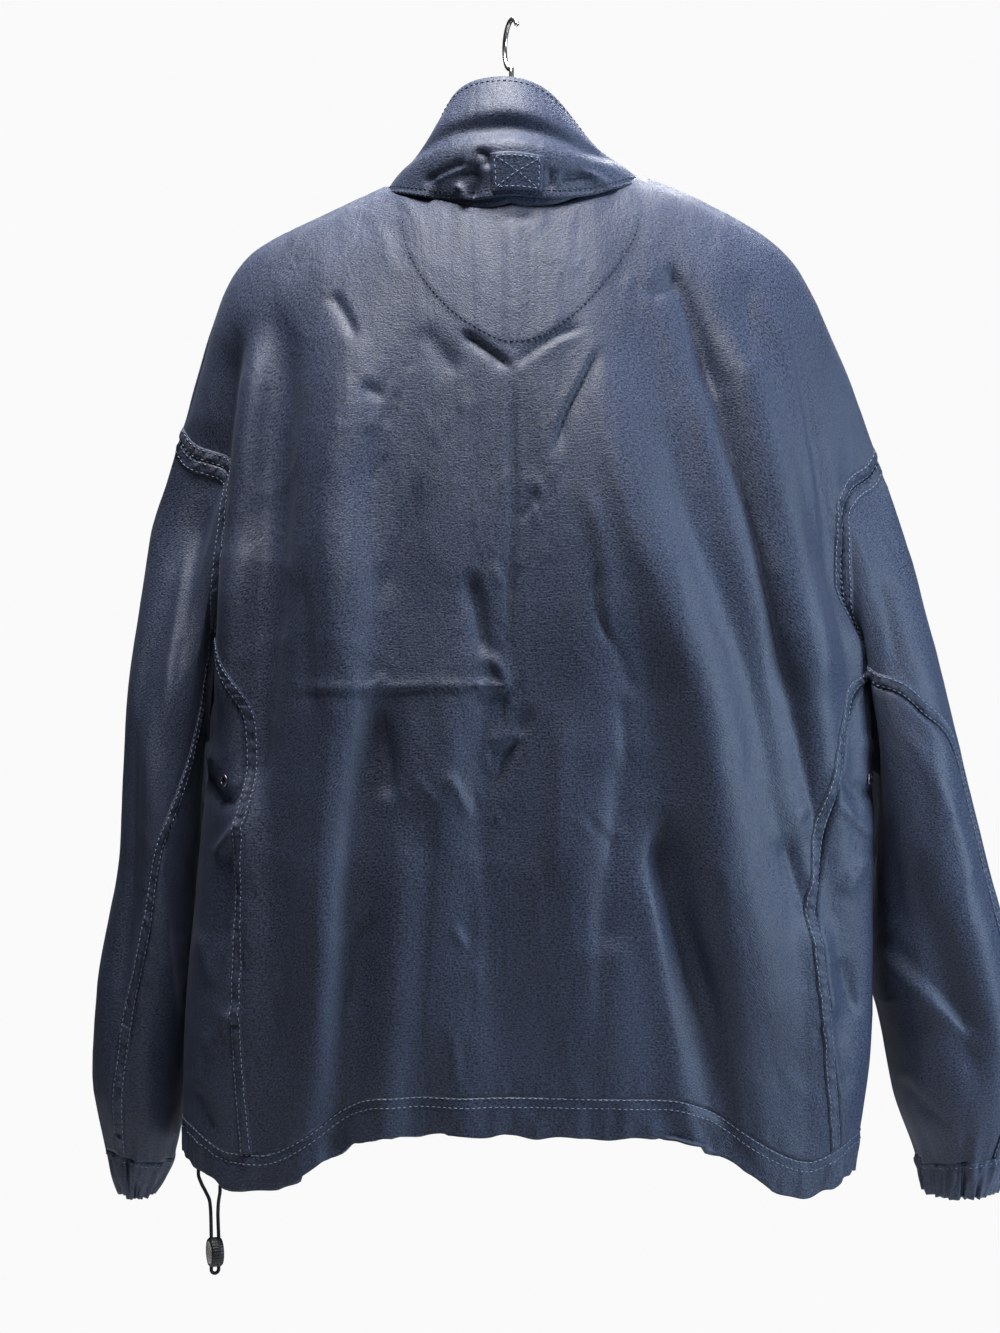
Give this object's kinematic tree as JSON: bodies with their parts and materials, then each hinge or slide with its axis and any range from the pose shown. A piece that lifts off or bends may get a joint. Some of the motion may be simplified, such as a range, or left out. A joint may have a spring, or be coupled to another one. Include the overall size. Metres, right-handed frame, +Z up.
{
  "type": "anorak",
  "caption": "Hip-length anorak of thin navy nylon with a stand collar, dropped shoulders, gathered cuffs and a corded hem, hanging on a hanger with a wire hook.",
  "frame": {"origin": "underside of the crown of the hanger's hook, where it rests on a rail", "axes": "+Z up, -Y out of the garment's back, +Y out of its front, +X to the right of someone looking at the back"},
  "size_m": [0.778, 0.2552, 1.0227],
  "materials": {
    "nylon": "thin woven nylon with a silky sheen",
    "elastic": "the same nylon, gathered over elastic",
    "metal": "dull metal",
    "zip": "woven tape",
    "cord": "braided elastic cord",
    "lock": "moulded plastic",
    "bar": "smooth",
    "wire": "bright wire"
  },
  "bodies": {
    "garment": {"back_panel": "nylon", "front_panel": "nylon", "side_panel_left": "nylon", "side_panel_right": "nylon", "sleeve_left": "nylon", "sleeve_right": "nylon", "under_sleeve_left": "nylon", "under_sleeve_right": "nylon", "hem_casing": "nylon", "collar_stand": "nylon", "collar_flap": "nylon", "collar_tab": "nylon", "cuff_left": "elastic", "cuff_right": "elastic", "eyelet_left": "metal", "eyelet_right": "metal", "zip_slider": "metal", "zip_tape": "zip", "drawcord_left": "cord", "drawcord_right": "cord", "drawcord_loop": "cord", "cord_lock": "lock", "hanger_bar": "bar", "hanger_hook": "wire"},
    "pull": {"zip_pull": "metal"}
  },
  "joints": [
    {"name": "pull_hinge", "type": "hinge", "parent": "garment", "child": "pull", "pos_m": [0, 0.0568, -0.13866], "axis": [1, 0, 0], "range_deg": [0, 150]}
  ]
}
